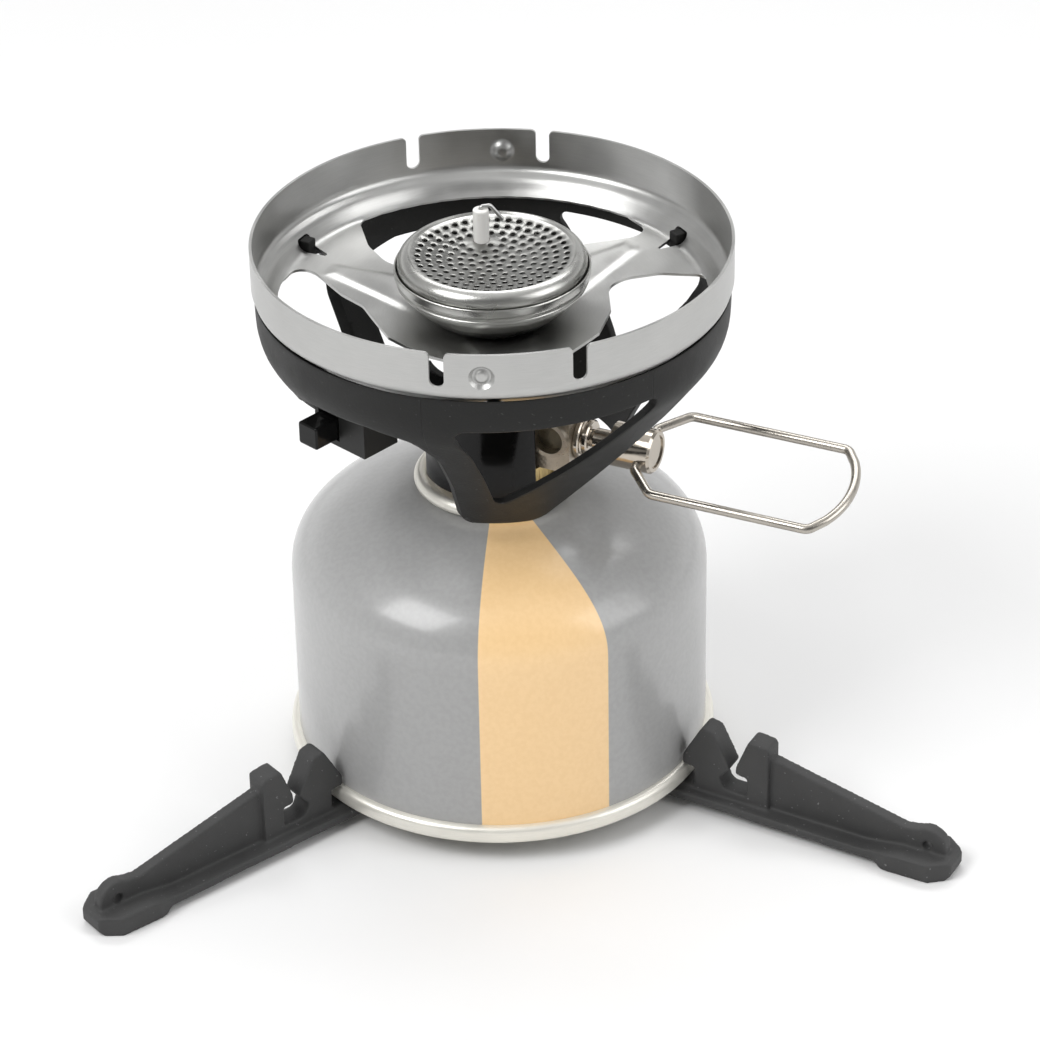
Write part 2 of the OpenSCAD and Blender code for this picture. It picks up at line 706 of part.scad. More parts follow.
module plastic_base() {
    color([0.20, 0.20, 0.20])
    union() {
        difference() {
            intersection() {
                base_shell();
                union() {
                    translate([0, 0, band_bottom]) cylinder(r = 60, h = 20);
                    for (k = [0:2]) rotate([0, 0, 120 * k]) outward(foot_view, 0, 60) foot_outline();
                }
            }
            for (k = [0:2]) rotate([0, 0, 120 * k]) outward(foot_view, 20, 60) window_outline();
        }
        // Clips that pass up through the spokes
        for (az = spoke_az) rotate([0, 0, az]) union() {
            translate([43.6, -1.4, 107.5]) cube([3.3, 2.8, 3.9]);
            translate([43.6, -1.4, 107.5]) cube([2.4, 2.8, 5.4]);
        }
    }
}

// ---------- assembly ----------

canister_body();
canister_base();
canister_valve_cup();
canister_valve_stem();
leg_rear();
leg_left();
leg_right();
pivot_rivet();
pivot_washer();
canister_seal();
canister_collar();
regulator_shroud();
valve_body();
pin_depressor();
port_plug();
regulator_cap();
regulator_spring();
regulator_diaphragm();
gland_nut();
spindle_oring();
valve_spindle();
control_knob();
set_screw();
wire_handle();
jet();
mixing_tube();
lock_nut();
burner_pan();
burner_bowl();
burner_cap();
electrode_ceramic();
electrode_wire();
ignition_lead();
igniter_housing();
piezo_button();
piezo_spring();
piezo_crystal();
plastic_base();
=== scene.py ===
"""Visual model of a backpacking gas stove on its canister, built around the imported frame."""

from math import acos, asin, atan2, cos, degrees, hypot, pi, radians, sin, sqrt

import bmesh
import bpy
import numpy as np
from mathutils import Matrix, Vector
from mathutils.geometry import delaunay_2d_cdt


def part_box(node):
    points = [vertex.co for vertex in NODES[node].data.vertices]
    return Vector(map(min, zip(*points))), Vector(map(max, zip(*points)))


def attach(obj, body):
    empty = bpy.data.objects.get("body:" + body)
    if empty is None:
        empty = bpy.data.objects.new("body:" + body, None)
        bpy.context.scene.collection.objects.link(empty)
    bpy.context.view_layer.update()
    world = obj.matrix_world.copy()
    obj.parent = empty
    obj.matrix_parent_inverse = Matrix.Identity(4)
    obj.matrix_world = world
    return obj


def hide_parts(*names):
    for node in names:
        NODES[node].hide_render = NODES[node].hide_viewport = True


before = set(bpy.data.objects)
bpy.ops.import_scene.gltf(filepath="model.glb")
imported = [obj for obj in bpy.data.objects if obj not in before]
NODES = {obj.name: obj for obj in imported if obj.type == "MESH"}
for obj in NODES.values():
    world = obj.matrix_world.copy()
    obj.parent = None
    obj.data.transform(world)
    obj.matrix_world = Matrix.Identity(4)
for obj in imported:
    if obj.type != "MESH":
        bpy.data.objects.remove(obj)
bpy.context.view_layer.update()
MM = 0.001


def low_high(node):
    """A CAD node's lowest and highest corners, in millimetres."""
    low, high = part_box(node)
    return low / MM, high / MM


# ---------- driving sizes, read from the frame, in millimetres ----------

pan_low, pan_high = low_high("burner_pan")
_, base_high = low_high("plastic_base")
bowl_low, bowl_high = low_high("burner_bowl")
cap_low, cap_high = low_high("burner_cap")
post_low, post_high = low_high("electrode_ceramic")
can_low, can_high = low_high("canister_body")
seam_low, seam_high = low_high("canister_base")
knob_low, knob_high = low_high("control_knob")

RING_R = (pan_high.x - pan_low.x) / 2
RING_TOP = pan_high.z
SHEET = 0.6
PAN_FLOOR = pan_low.z + SHEET
HEAD_R = (bowl_high.x - bowl_low.x) / 2
CAP_R = (cap_high.x - cap_low.x) / 2
CAP_TOP = cap_high.z
POST = Vector(((post_low.x + post_high.x) / 2, (post_low.y + post_high.y) / 2))
POST_R = (post_high.x - post_low.x) / 2
BAND_TOP = base_high.z
CAN_R = (can_high.x - can_low.x) / 2
SEAM_R = (seam_high.x - seam_low.x) / 2
VALVE_Z = (knob_low.z + knob_high.z) / 2
VALVE_AZ = degrees(atan2(knob_low.y + knob_high.y, knob_low.x + knob_high.x)) % 360
SPOKES = (30, 150, 270)     # azimuths of the pan's three spokes


# ---------- shape helpers ----------

def polar(r, az, z=None):
    """Point at radius r and azimuth az in degrees, with a height if one is given."""
    x, y = r * cos(radians(az)), r * sin(radians(az))
    return Vector((x, y)) if z is None else Vector((x, y, z))


def circle(centre, r, n):
    """n points round a centre in the plane."""
    return [centre + polar(r, 360 * i / n) for i in range(n)]


def corner(points, i, n):
    """Point i of a line of (x, y, corner radius), as an arc of n steps if it has a radius."""
    p, r = Vector(points[i][:2]), points[i][2]
    if r <= 0:
        return [p]
    a = (Vector(points[i - 1][:2]) - p).normalized()
    b = (Vector(points[(i + 1) % len(points)][:2]) - p).normalized()
    half = acos(max(-1, min(1, a.dot(b)))) / 2
    reach = r * cos(half) / sin(half)
    centre = p + (a + b).normalized() * r / sin(half)
    first, last = p + a * reach - centre, p + b * reach - centre
    start, turn = atan2(first.y, first.x), -first.angle_signed(last)
    angles = [start + turn * k / n for k in range(n + 1)]
    return [centre + r * Vector((cos(t), sin(t))) for t in angles]


def fillet(points, n=6):
    """Closed outline whose points are (x, y, corner radius)."""
    return [p for i in range(len(points)) for p in corner(points, i, n)]


def resample(outline, step):
    """The closed outline with its long edges cut to pieces no longer than step."""
    out = []
    for i, p in enumerate(outline):
        q = outline[(i + 1) % len(outline)]
        n = max(1, round((q - p).length / step))
        out += [p.lerp(q, k / n) for k in range(n)]
    return out


def inside(points, loop):
    """Which of the points (an n x 2 array) lie inside the closed loop."""
    hit = np.zeros(len(points), bool)
    x, y = points[:, 0], points[:, 1]
    for (ax, ay), (bx, by) in zip(loop, np.roll(loop, 1, axis=0)):
        if ay != by:
            hit ^= ((ay > y) != (by > y)) & (x < (bx - ax) * (y - ay) / (by - ay) + ax)
    return hit


def near(points, loop, gap):
    """Which of the points lie within gap of the loop's own points."""
    close = np.zeros(len(points), bool)
    for p in loop:
        close |= (np.abs(points - p) < gap).all(axis=1)
    return close


def new_object(name, mesh):
    obj = bpy.data.objects.new(name, mesh)
    bpy.context.scene.collection.objects.link(obj)
    return obj


def dress(obj, material, body, slot, *replaced):
    """Gives a piece its material and body, and hides the CAD nodes it stands for; slot is not used."""
    obj.data.materials.clear()
    obj.data.materials.append(material)
    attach(obj, body)
    if replaced:
        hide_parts(*replaced)
    return obj


def smooth(obj, angle=35):
    for p in obj.data.polygons:
        p.use_smooth = True
    obj.data.set_sharp_from_angle(angle=radians(angle))
    return obj


def bevel(obj, width, segments=2, angle=35):
    m = obj.modifiers.new("soft_edges", "BEVEL")
    m.width, m.segments, m.limit_method, m.angle_limit = width * MM, segments, "ANGLE", radians(angle)
    return obj


def weighted(obj):
    m = obj.modifiers.new("clean_shading", "WEIGHTED_NORMAL")
    m.keep_sharp = True
    return obj


def plate(name, outline, holes, step, front, back, rim=0.0, joined=False, extra=()):
    """Sheet with cut-outs: a flat outline with holes is meshed, then front() and back() give its two faces.

    joined closes the sheet where its left and right sides meet, rim rounds the cut edges, and extra is
    more points for the mesh to pass through."""
    loops = [np.array([tuple(p) for p in resample(loop, step)]) for loop in [outline] + list(holes)]
    lo, hi = loops[0].min(axis=0), loops[0].max(axis=0)
    count = np.maximum(1, np.round((hi - lo) / step).astype(int))
    grid = np.array([lo + (hi - lo) * (i / count[0], j / count[1])
                     for i in range(1, count[0]) for j in range(1, count[1])])
    keep = inside(grid, loops[0]) & ~near(grid, loops[0], 0.6 * step)
    for loop in loops[1:]:
        keep &= ~inside(grid, loop) & ~near(grid, loop, 0.6 * step)
    chosen = list(loops)
    if len(extra):
        more = np.array([tuple(p) for p in extra])
        fine = inside(more, loops[0]) & ~near(more, loops[0], 0.2 * step)
        for loop in loops[1:]:
            fine &= ~inside(more, loop)
        keep &= ~near(grid, more[fine], 0.35 * step)
        chosen.append(more[fine])
    points = [Vector(p) for p in np.vstack(chosen + [grid[keep]])]
    edges, first = [], 0
    for loop in loops:
        n = len(loop)
        edges += [(first + i, first + (i + 1) % n) for i in range(n)]
        first += n
    verts, _, faces, _, _, _ = delaunay_2d_cdt(points, edges, [], 0, 1e-5)
    corners = np.array([[tuple(verts[i]) for i in f] for f in faces])
    centres = corners.mean(axis=1)
    (ax, ay), (bx, by) = (corners[:, 1] - corners[:, 0]).T, (corners[:, 2] - corners[:, 0]).T
    keep = inside(centres, loops[0]) & (np.abs(ax * by - ay * bx) > 1e-5)
    for loop in loops[1:]:
        keep &= ~inside(centres, loop)
    faces = [list(f) for f, k in zip(faces, keep) if k]
    bm = bmesh.new()
    top = [bm.verts.new(Vector(front(v.x, v.y)) * MM) for v in verts]
    low = [bm.verts.new(Vector(back(v.x, v.y)) * MM) for v in verts]
    sides = set()
    for f in faces:
        bm.faces.new([top[i] for i in f])
        bm.faces.new([low[i] for i in reversed(f)])
        sides.update(zip(f, f[1:] + f[:1]))
    for a, b in sides:
        if (b, a) in sides:
            continue
        at_seam = any(abs(verts[a].x - x) < 1e-4 and abs(verts[b].x - x) < 1e-4 for x in (lo[0], hi[0]))
        if not (joined and at_seam):
            bm.faces.new([top[b], top[a], low[a], low[b]])
    bmesh.ops.delete(bm, geom=[v for v in bm.verts if not v.link_faces], context="VERTS")
    if joined:
        bmesh.ops.remove_doubles(bm, verts=bm.verts, dist=2e-6)
    bmesh.ops.recalc_face_normals(bm, faces=bm.faces)
    mesh = bpy.data.meshes.new(name)
    bm.to_mesh(mesh)
    bm.free()
    obj = smooth(new_object(name, mesh), 40)
    if rim:
        bevel(obj, rim, 2, 50)
    return obj


def lathe(name, profile, segments=192, angle=30):
    """Solid turned about +Z from a loop of (radius, height) points; a radius of 0 lies on the axis."""
    bm = bmesh.new()
    rings = []
    for r, z in profile:
        if r < 1e-6:
            rings.append([bm.verts.new((0, 0, z * MM))])
        else:
            rings.append([bm.verts.new(polar(r, 360 * i / segments, z) * MM) for i in range(segments)])
    for a, b in zip(rings, rings[1:] + rings[:1]):
        for i in range(segments):
            k = (i + 1) % segments
            if len(a) == 1 and len(b) == 1:
                continue
            if len(a) == 1:
                bm.faces.new([a[0], b[i], b[k]])
            elif len(b) == 1:
                bm.faces.new([a[i], b[0], a[k]])
            else:
                bm.faces.new([a[i], b[i], b[k], a[k]])
    bmesh.ops.recalc_face_normals(bm, faces=bm.faces)
    mesh = bpy.data.meshes.new(name)
    bm.to_mesh(mesh)
    bm.free()
    return smooth(new_object(name, mesh), angle)


def arc(cx, cz, r, start, end, n=6):
    turns = [radians(start + (end - start) * i / n) for i in range(n + 1)]
    return [(cx + r * cos(t), cz + r * sin(t)) for t in turns]


def wire(name, points, radius, sides=6):
    """Round wire with closed ends along points, as a mesh."""
    curve = bpy.data.curves.new(name, "CURVE")
    curve.dimensions = "3D"
    curve.bevel_depth, curve.bevel_resolution, curve.use_fill_caps = radius * MM, sides, True
    line = curve.splines.new("POLY")
    line.points.add(len(points) - 1)
    for p, co in zip(line.points, points):
        p.co = (*(Vector(co) * MM), 1)
    temp = bpy.data.objects.new(name + "_line", curve)
    bpy.context.scene.collection.objects.link(temp)
    bpy.context.view_layer.update()
    mesh = bpy.data.meshes.new_from_object(temp.evaluated_get(bpy.context.evaluated_depsgraph_get()))
    bpy.data.objects.remove(temp)
    obj = new_object(name, mesh)
    return smooth(obj, 50)


def softened(node, name, width, segments=2):
    """Copy of a CAD node with its edges rounded."""
    angle = 30
    mesh = NODES[node].data.copy()
    bm = bmesh.new()
    bm.from_mesh(mesh)
    bmesh.ops.remove_doubles(bm, verts=bm.verts, dist=2e-6)
    bmesh.ops.dissolve_limit(bm, angle_limit=radians(0.6), verts=bm.verts, edges=bm.edges)
    bmesh.ops.recalc_face_normals(bm, faces=bm.faces)
    bm.to_mesh(mesh)
    bm.free()
    if mesh.has_custom_normals:
        mesh.attributes.remove(mesh.attributes["custom_normal"])
    obj = new_object(name, mesh)
    smooth(obj, angle)
    bevel(obj, width, segments, angle)
    weighted(obj)
    return obj


def moulded(node, name, voxel, rounds):
    """Copy of a CAD node as a soft-edged moulding: remeshed finely, then eased."""
    mesh = NODES[node].data.copy()
    bm = bmesh.new()
    bm.from_mesh(mesh)
    bmesh.ops.remove_doubles(bm, verts=bm.verts, dist=2e-6)
    bm.to_mesh(mesh)
    bm.free()
    mesh.materials.clear()
    temp = new_object(name + "_rough", mesh)
    m = temp.modifiers.new("remesh", "REMESH")
    m.mode, m.voxel_size, m.adaptivity = "VOXEL", voxel * MM, 0
    s = temp.modifiers.new("ease", "SMOOTH")
    s.iterations, s.factor = rounds, 0.5
    bpy.context.view_layer.update()
    done = bpy.data.meshes.new_from_object(temp.evaluated_get(bpy.context.evaluated_depsgraph_get()))
    bpy.data.objects.remove(temp)
    obj = new_object(name, done)
    for p in done.polygons:
        p.use_smooth = True
    return obj


# ---------- materials ----------

class Surface:
    """Node-built material: a principled surface whose colour, roughness and bump take procedural detail."""

    def __init__(self, name, color, metallic=0.0, roughness=0.5, **more):
        self.mat = bpy.data.materials.new(name)
        self.mat.use_nodes = True
        self.tree = self.mat.node_tree
        self.shader = self.tree.nodes["Principled BSDF"]
        self.color, self.roughness = color, roughness
        self.shader.inputs["Base Color"].default_value = (*color, 1)
        self.shader.inputs["Metallic"].default_value = metallic
        self.shader.inputs["Roughness"].default_value = roughness
        for key, value in more.items():
            self.shader.inputs[key.replace("_", " ")].default_value = value
        self.place = self.add("ShaderNodeTexCoord").outputs["Object"]
        self.height = None

    def add(self, kind, **settings):
        node = self.tree.nodes.new(kind)
        for key, value in settings.items():
            setattr(node, key, value)
        return node

    def feed(self, socket, value):
        if isinstance(value, bpy.types.NodeSocket):
            self.tree.links.new(value, socket)
        else:
            socket.default_value = value

    def math(self, operation, a, b=0.0):
        node = self.add("ShaderNodeMath", operation=operation)
        for socket, value in zip(node.inputs, (a, b)):
            self.feed(socket, value)
        return node.outputs[0]

    def ramp(self, value, low, high, out_low=0.0, out_high=1.0):
        """value, mapped smoothly from low..high to out_low..out_high."""
        node = self.add("ShaderNodeMapRange", interpolation_type="SMOOTHSTEP")
        for socket, v in zip(node.inputs, (value, low, high, out_low, out_high)):
            self.feed(socket, v)
        return node.outputs[0]

    def axes(self):
        """The place's x, y and z, and its distance from the Z axis."""
        split = self.add("ShaderNodeSeparateXYZ")
        self.feed(split.inputs[0], self.place)
        x, y, z = split.outputs
        square = self.math("ADD", self.math("MULTIPLY", x, x), self.math("MULTIPLY", y, y))
        return x, y, z, self.math("SQRT", square)

    def turned(self, around=(1, 1, 1)):
        """Place as (azimuth, distance from the axis, height) about Z, stretched by around."""
        x, y, z, distance = self.axes()
        azimuth = self.math("ARCTAN2", y, x)
        join = self.add("ShaderNodeCombineXYZ")
        for socket, part, scale in zip(join.inputs, (azimuth, distance, z), around):
            self.feed(socket, self.math("MULTIPLY", part, scale))
        return join.outputs[0]

    def noise(self, scale, detail=4, rough=0.55, place=None, stretch=(1, 1, 1)):
        node = self.add("ShaderNodeTexNoise")
        spread = self.add("ShaderNodeMapping")
        self.feed(spread.inputs["Vector"], place or self.place)
        spread.inputs["Scale"].default_value = stretch
        self.feed(node.inputs["Vector"], spread.outputs[0])
        node.inputs["Scale"].default_value = scale
        node.inputs["Detail"].default_value = detail
        node.inputs["Roughness"].default_value = rough
        return node.outputs[0]

    def mix(self, factor, a, b):
        node = self.add("ShaderNodeMix", data_type="RGBA")
        self.feed(node.inputs[0], factor)
        for socket, value in ((node.inputs[6], a), (node.inputs[7], b)):
            self.feed(socket, (*value, 1) if isinstance(value, tuple) and len(value) == 3 else value)
        return node.outputs[2]

    def paint(self, color):
        self.feed(self.shader.inputs["Base Color"], color)

    def vary(self, factor, dark, bright):
        """Colour that wanders between two shades of the base colour."""
        low, high = (tuple(c * k for c in self.color) for k in (dark, bright))
        self.paint(self.mix(self.ramp(factor, 0.3, 0.7), low, high))

    def gloss(self, factor, low, high):
        self.feed(self.shader.inputs["Roughness"], self.ramp(factor, 0.3, 0.7, low, high))

    def bump(self, height, distance):
        """Adds relief whose distance is in millimetres."""
        node = self.add("ShaderNodeBump")
        node.inputs["Strength"].default_value = 1.0
        node.inputs["Distance"].default_value = distance * MM
        self.feed(node.inputs["Height"], height)
        if self.height is not None:
            self.feed(node.inputs["Normal"], self.height)
        self.height = node.outputs[0]
        self.feed(self.shader.inputs["Normal"], self.height)


def sheet_steel(name, color, roughness, around, painted_shade_r=0):
    """Pressed stainless sheet with rolled marks and faint smudges, and painted shade that halves its colour
    within the given radius of the axis.

    around stretches the marks, as in Surface.turned."""
    s = Surface(name, color, 1.0, roughness)
    place = s.turned(around)
    streak = s.noise(9, 6, 0.7, place)
    smudge = s.noise(70, 3, 0.5)
    s.vary(s.math("ADD", s.math("MULTIPLY", streak, 0.5), s.math("MULTIPLY", smudge, 0.5)), 0.88, 1.06)
    # painted shade: within the radius the colour is halved, darkening the head's sunk dish and the lower
    # bowl
    if painted_shade_r:
        unshaded_color = s.shader.inputs["Base Color"].links[0].from_socket
        painted_shade_mask = s.ramp(s.axes()[3], painted_shade_r * MM, (painted_shade_r + 1.2) * MM)
        s.paint(s.mix(painted_shade_mask, tuple(c * 0.5 for c in color), unshaded_color))
    s.gloss(smudge, roughness - 0.05, roughness + 0.09)
    s.bump(streak, 0.014)
    s.bump(s.noise(900, 2, 0.5), 0.006)
    return s


def moulded_plastic(name, color, roughness, grain):
    """Dark moulded plastic with a fine spark-eroded grain and a little dust."""
    s = Surface(name, color, 0.0, roughness, Specular_IOR_Level=0.3)
    dust = s.noise(1400, 2, 0.4)
    cloud = s.noise(60, 4, 0.6)
    shade = s.mix(s.ramp(cloud, 0.3, 0.7), tuple(c * 0.86 for c in color), tuple(c * 1.14 for c in color))
    s.paint(s.mix(s.ramp(dust, 0.71, 0.76), shade, tuple(c * 2.5 + 0.015 for c in color)))
    s.gloss(cloud, roughness - 0.06, roughness + 0.07)
    s.bump(s.noise(2600, 3, 0.6), grain)
    return s


def bright_metal(name, color, roughness, relief=0.004, scale=700):
    s = Surface(name, color, 1.0, roughness)
    wear = s.noise(160, 4, 0.6)
    s.vary(wear, 0.9, 1.05)
    s.gloss(wear, roughness * 0.75, roughness * 1.5)
    s.bump(s.noise(scale, 3, 0.6), relief)
    return s


def build_materials():
    m = {}
    m["pan_steel"] = sheet_steel("pan_steel", (0.49, 0.49, 0.48), 0.33, (1.2, 900, 900))
    # the head steel gets painted shade within 15.6 mm of the axis, over its sunk dish
    m["head_steel"] = sheet_steel("head_steel", (0.50, 0.50, 0.48), 0.28, (1.0, 1400, 1400), 15.6)
    m["base_plastic"] = moulded_plastic("base_plastic", (0.009, 0.009, 0.0085), 0.52, 0.06)
    m["leg_plastic"] = moulded_plastic("leg_plastic", (0.056, 0.056, 0.056), 0.60, 0.05)
    m["igniter_black"] = moulded_plastic("igniter_black", (0.010, 0.010, 0.0095), 0.42, 0.012)
    gloss = Surface("gloss_black", (0.003, 0.003, 0.003), 0.0, 0.16, Specular_IOR_Level=0.2)
    scratches = gloss.noise(220, 8, 0.75, stretch=(1, 1, 6))
    gloss.gloss(scratches, 0.10, 0.24)
    gloss.paint(gloss.mix(gloss.ramp(scratches, 0.62, 0.78), (0.006, 0.006, 0.006), (0.02, 0.02, 0.02)))
    gloss.bump(gloss.noise(90, 3, 0.5), 0.05)
    m["gloss_black"] = gloss
    m["nickel"] = bright_metal("nickel", (0.50, 0.45, 0.385), 0.13)
    cast = Surface("nickel_cast", (0.50, 0.45, 0.38), 1.0, 0.36)
    sand = cast.noise(1500, 4, 0.7)
    cast.vary(cast.noise(120, 4, 0.6), 0.82, 1.12)
    cast.gloss(sand, 0.26, 0.44)
    cast.bump(sand, 0.16)
    m["nickel_cast"] = cast
    # painted shade: the brass plug at the bottom of the valve's port is coloured dark to stand for the shade
    # in that hole; its rough bump is real
    m["port_painted_shade"] = bright_metal("port_painted_shade", (0.17, 0.15, 0.11), 0.45, 0.2, 1300)
    m["brass"] = bright_metal("brass", (0.55, 0.42, 0.20), 0.24, 0.01, 1200)
    m["hardware_steel"] = bright_metal("hardware_steel", (0.60, 0.60, 0.59), 0.26)
    m["black_steel"] = bright_metal("black_steel", (0.05, 0.05, 0.05), 0.35)
    m["wire_steel"] = bright_metal("wire_steel", (0.46, 0.43, 0.385), 0.24, 0.006, 1500)
    m["canister_tin"] = sheet_steel("canister_tin", (0.84, 0.82, 0.75), 0.36, (1.0, 500, 500))
    m["canister_tin"].shader.inputs["Metallic"].default_value = 0.55
    rubber = Surface("rubber", (0.018, 0.018, 0.018), 0.0, 0.7)
    rubber.vary(rubber.noise(300, 3), 0.8, 1.3)
    rubber.bump(rubber.noise(2000, 3), 0.02)
    m["rubber"] = m["lead_sleeve"] = rubber
    ceramic = Surface("ceramic", (0.86, 0.85, 0.82), 0.0, 0.28, Coat_Weight=0.4, Coat_Roughness=0.15)
    stain = ceramic.noise(420, 5, 0.7)
    ceramic.paint(ceramic.mix(ceramic.ramp(stain, 0.60, 0.80), (0.86, 0.85, 0.82), (0.70, 0.64, 0.52)))
    ceramic.bump(ceramic.noise(1800, 2), 0.01)
    m["ceramic"] = ceramic
    return m


SURFACES = build_materials()


def mat(name):
    return SURFACES[name].mat


def paint_canister(name):
    """Satin grey paint with one pale stripe that leans as it climbs the dome."""
    s = Surface(name, (0.36, 0.36, 0.36), 0.0, 0.34, Coat_Weight=0.6, Coat_Roughness=0.16)
    x, y, _, distance = s.axes()
    turn = s.math("MULTIPLY", s.math("ARCTAN2", x, s.math("MULTIPLY", y, -1)), 180 / pi)
    up = s.math("DIVIDE", s.math("SUBTRACT", CAN_R * MM, distance), CAN_R * MM * 0.55)
    left = s.math("SUBTRACT", turn, -6.0)
    right = s.math("SUBTRACT", s.math("SUBTRACT", 30.0, s.math("MULTIPLY", up, 5.0)), turn)
    stripe = s.ramp(s.math("MINIMUM", left, right), -0.15, 0.15)
    speckle = s.noise(900, 3, 0.5)
    grey = s.mix(s.ramp(speckle, 0.3, 0.7), (0.345, 0.345, 0.343), (0.372, 0.372, 0.370))
    pale = s.mix(s.ramp(speckle, 0.3, 0.7), (0.92, 0.63, 0.32), (0.95, 0.66, 0.345))
    s.paint(s.mix(stripe, grey, pale))
    s.gloss(s.noise(45, 3), 0.30, 0.40)
    s.bump(s.noise(260, 2), 0.02)
    s.bump(stripe, 0.015)
    SURFACES[name] = s


paint_canister("canister_paint")


def mould_lines(surface, azimuths):
    """Fine parting lines that run down the band at the given azimuths."""
    width, depth = 0.12, 0.12
    x, y, _, _ = surface.axes()
    turn = surface.math("MULTIPLY", surface.math("ARCTAN2", y, x), 180 / pi)
    nearest = None
    for az in azimuths:
        gap = surface.math("ABSOLUTE", surface.math("SUBTRACT", turn, (az + 180) % 360 - 180))
        nearest = gap if nearest is None else surface.math("MINIMUM", nearest, gap)
    surface.bump(surface.ramp(nearest, 0.0, width), depth)


# ---------- burner pan and ring ----------

def rolled(points):
    """Open line of (radius, height, corner radius), with round corners, and the length up to each point.

    Its two ends have no corner radius."""
    line = fillet(points, 8)
    length = np.concatenate([[0], np.cumsum([(q - p).length for p, q in zip(line, line[1:])])])
    return np.array([tuple(p) for p in line]), length


def follow(line, length, s):
    """Place and left-hand normal at distance s along the line."""
    r, z = np.interp(s, length, line[:, 0]), np.interp(s, length, line[:, 1])
    e = 0.15
    dr = np.interp(s + e, length, line[:, 0]) - np.interp(s - e, length, line[:, 0])
    dz = np.interp(s + e, length, line[:, 1]) - np.interp(s - e, length, line[:, 1])
    n = hypot(dr, dz)
    return r, z, -dz / n, dr / n


def soft_step(low, high, x):
    t = max(0.0, min(1.0, (x - low) / (high - low)))
    return t * t * (3 - 2 * t)


def build_pan():
    wall_r = RING_R - SHEET
    line, length = rolled([(wall_r, RING_TOP, 0), (wall_r, 115.1, 1.3), (46.7, 114.0, 1.5),
                           (44.5, 110.75, 1.8), (26, 108.6, 8), (13, PAN_FLOOR, 5), (8, PAN_FLOOR, 0)])
    scale = radians(1) * RING_R
    seam = SPOKES[0] - 6.5
    slots, slot_w, slot_depth, lip_r = (257, 290, 77, 110), 3.0, 7.5, 1.0
    dimples, dimple_z = (87.2, 267.3), 119.5

    def across(az):
        return ((az - seam) % 360 + seam) * scale

    def floor_at(az, r):
        """Point of the flat layout for an azimuth and a radius on the pan's floor."""
        return Vector((across(az), float(np.interp(r, line[::-1, 0], length[::-1]))))

    top = []
    for u in sorted(across(az) for az in slots):
        w = slot_w / 2
        top += [(u - w, 0, lip_r), (u - w, slot_depth, 0.98 * w)]
        top += [(u + w, slot_depth, 0.98 * w), (u + w, 0, lip_r)]
    left, right = seam * scale, (seam + 360) * scale
    outline = fillet([(left, 0, 0)] + top + [(right, 0, 0), (right, length[-1], 0), (left, length[-1], 0)])
    opening_r, half_spoke = 44.3, 9.5
    side = degrees(asin(half_spoke / opening_r))
    ends = [(side - 1.5, 43.5, 3), (side - 2, 39.5, 4), (side + 9, 31.5, 6), (side + 16, 26.8, 4),
            (60, 24.6, 0), (84, 24.2, 0), (119 - side, 24.8, 4), (122.5 - side, 29, 6), (119 - side, 36, 6),
            (112 - side, opening_r, 3)]
    ends += [(a, opening_r, 0) for a in range(92, 19, -6)]
    opening = resample(fillet([(*polar(r, a), c) for a, r, c in ends], 8), 0.8)
    clip = fillet([(40.2, -0.4, 0.3), (46.1, -2.6, 0.8), (46.1, 2.6, 0.8), (40.2, 0.4, 0.3)], 4)
    holes = [[floor_at(spoke + degrees(atan2(p.y, p.x)), p.length) for p in loop]
             for spoke in SPOKES for loop in (opening, clip)]
    post = circle(POST, POST_R + 0.3, 15)
    holes.append([floor_at(degrees(atan2(p.y, p.x)), p.length) for p in post])

    def press(az, r, z, outer):
        """How far the sheet is pressed towards its inner side."""
        if z > dimple_z - 3.2 and r > wall_r - 1:
            away = min(hypot(radians((az - d + 180) % 360 - 180) * RING_R, z - dimple_z) for d in dimples)
            if outer:
                return 0.8 * (1 - soft_step(1.9, 2.6, away)) - 0.45 * (1 - soft_step(1.0, 1.6, away))
            return 0.95 * (1 - soft_step(0.6, 2.75, away) ** 1.5)
        lift = 0.0
        for spoke in SPOKES:
            turn = radians((az - spoke - 7 + 180) % 360 - 180)
            along, sideways = r * cos(turn), r * sin(turn)
            if 11 < along < 38:
                inner = min(1.9 + (36 - along) * 0.235 - abs(sideways), 36.2 - along)
                lift = max(lift, 0.4 * soft_step(-1.1, 1.1, inner) * soft_step(11, 14, r))
        return lift

    def face(offset):
        def place(u, v):
            az = u / scale
            r, z, nr, nz = follow(line, length, v)
            move = offset - press(az, r, z, offset > 0)
            return polar(r + nr * move, az, z + nz * move)
        return place

    rings = []
    for dimple in dimples:
        middle = Vector((across(dimple), RING_TOP - dimple_z))
        for r in (0.5, 1.0, 1.3, 1.6, 1.9, 2.25, 2.6, 2.9, 3.3):
            rings += circle(middle, r, 24)
    pan = plate("burner_pan_sheet", outline, holes, 0.85, face(0), face(SHEET), 0.12, True, rings)
    dress(pan, mat("pan_steel"), "stove", "pan_steel", "burner_pan")


build_pan()


# ---------- burner head ----------

def eased(points, n=6):
    """Catmull-Rom curve through the points."""
    out = []
    pts = [Vector(p) for p in points]
    for i in range(len(pts) - 1):
        p0, p1, p2, p3 = pts[max(i - 1, 0)], pts[i], pts[i + 1], pts[min(i + 2, len(pts) - 1)]
        for k in range(n):
            t = k / n
            out.append(0.5 * ((2 * p1) + (p2 - p0) * t + (2 * p0 - 5 * p1 + 4 * p2 - p3) * t * t
                              + (3 * p1 - p0 - 3 * p2 + p3) * t ** 3))
    return [tuple(p) for p in out] + [tuple(pts[-1])]


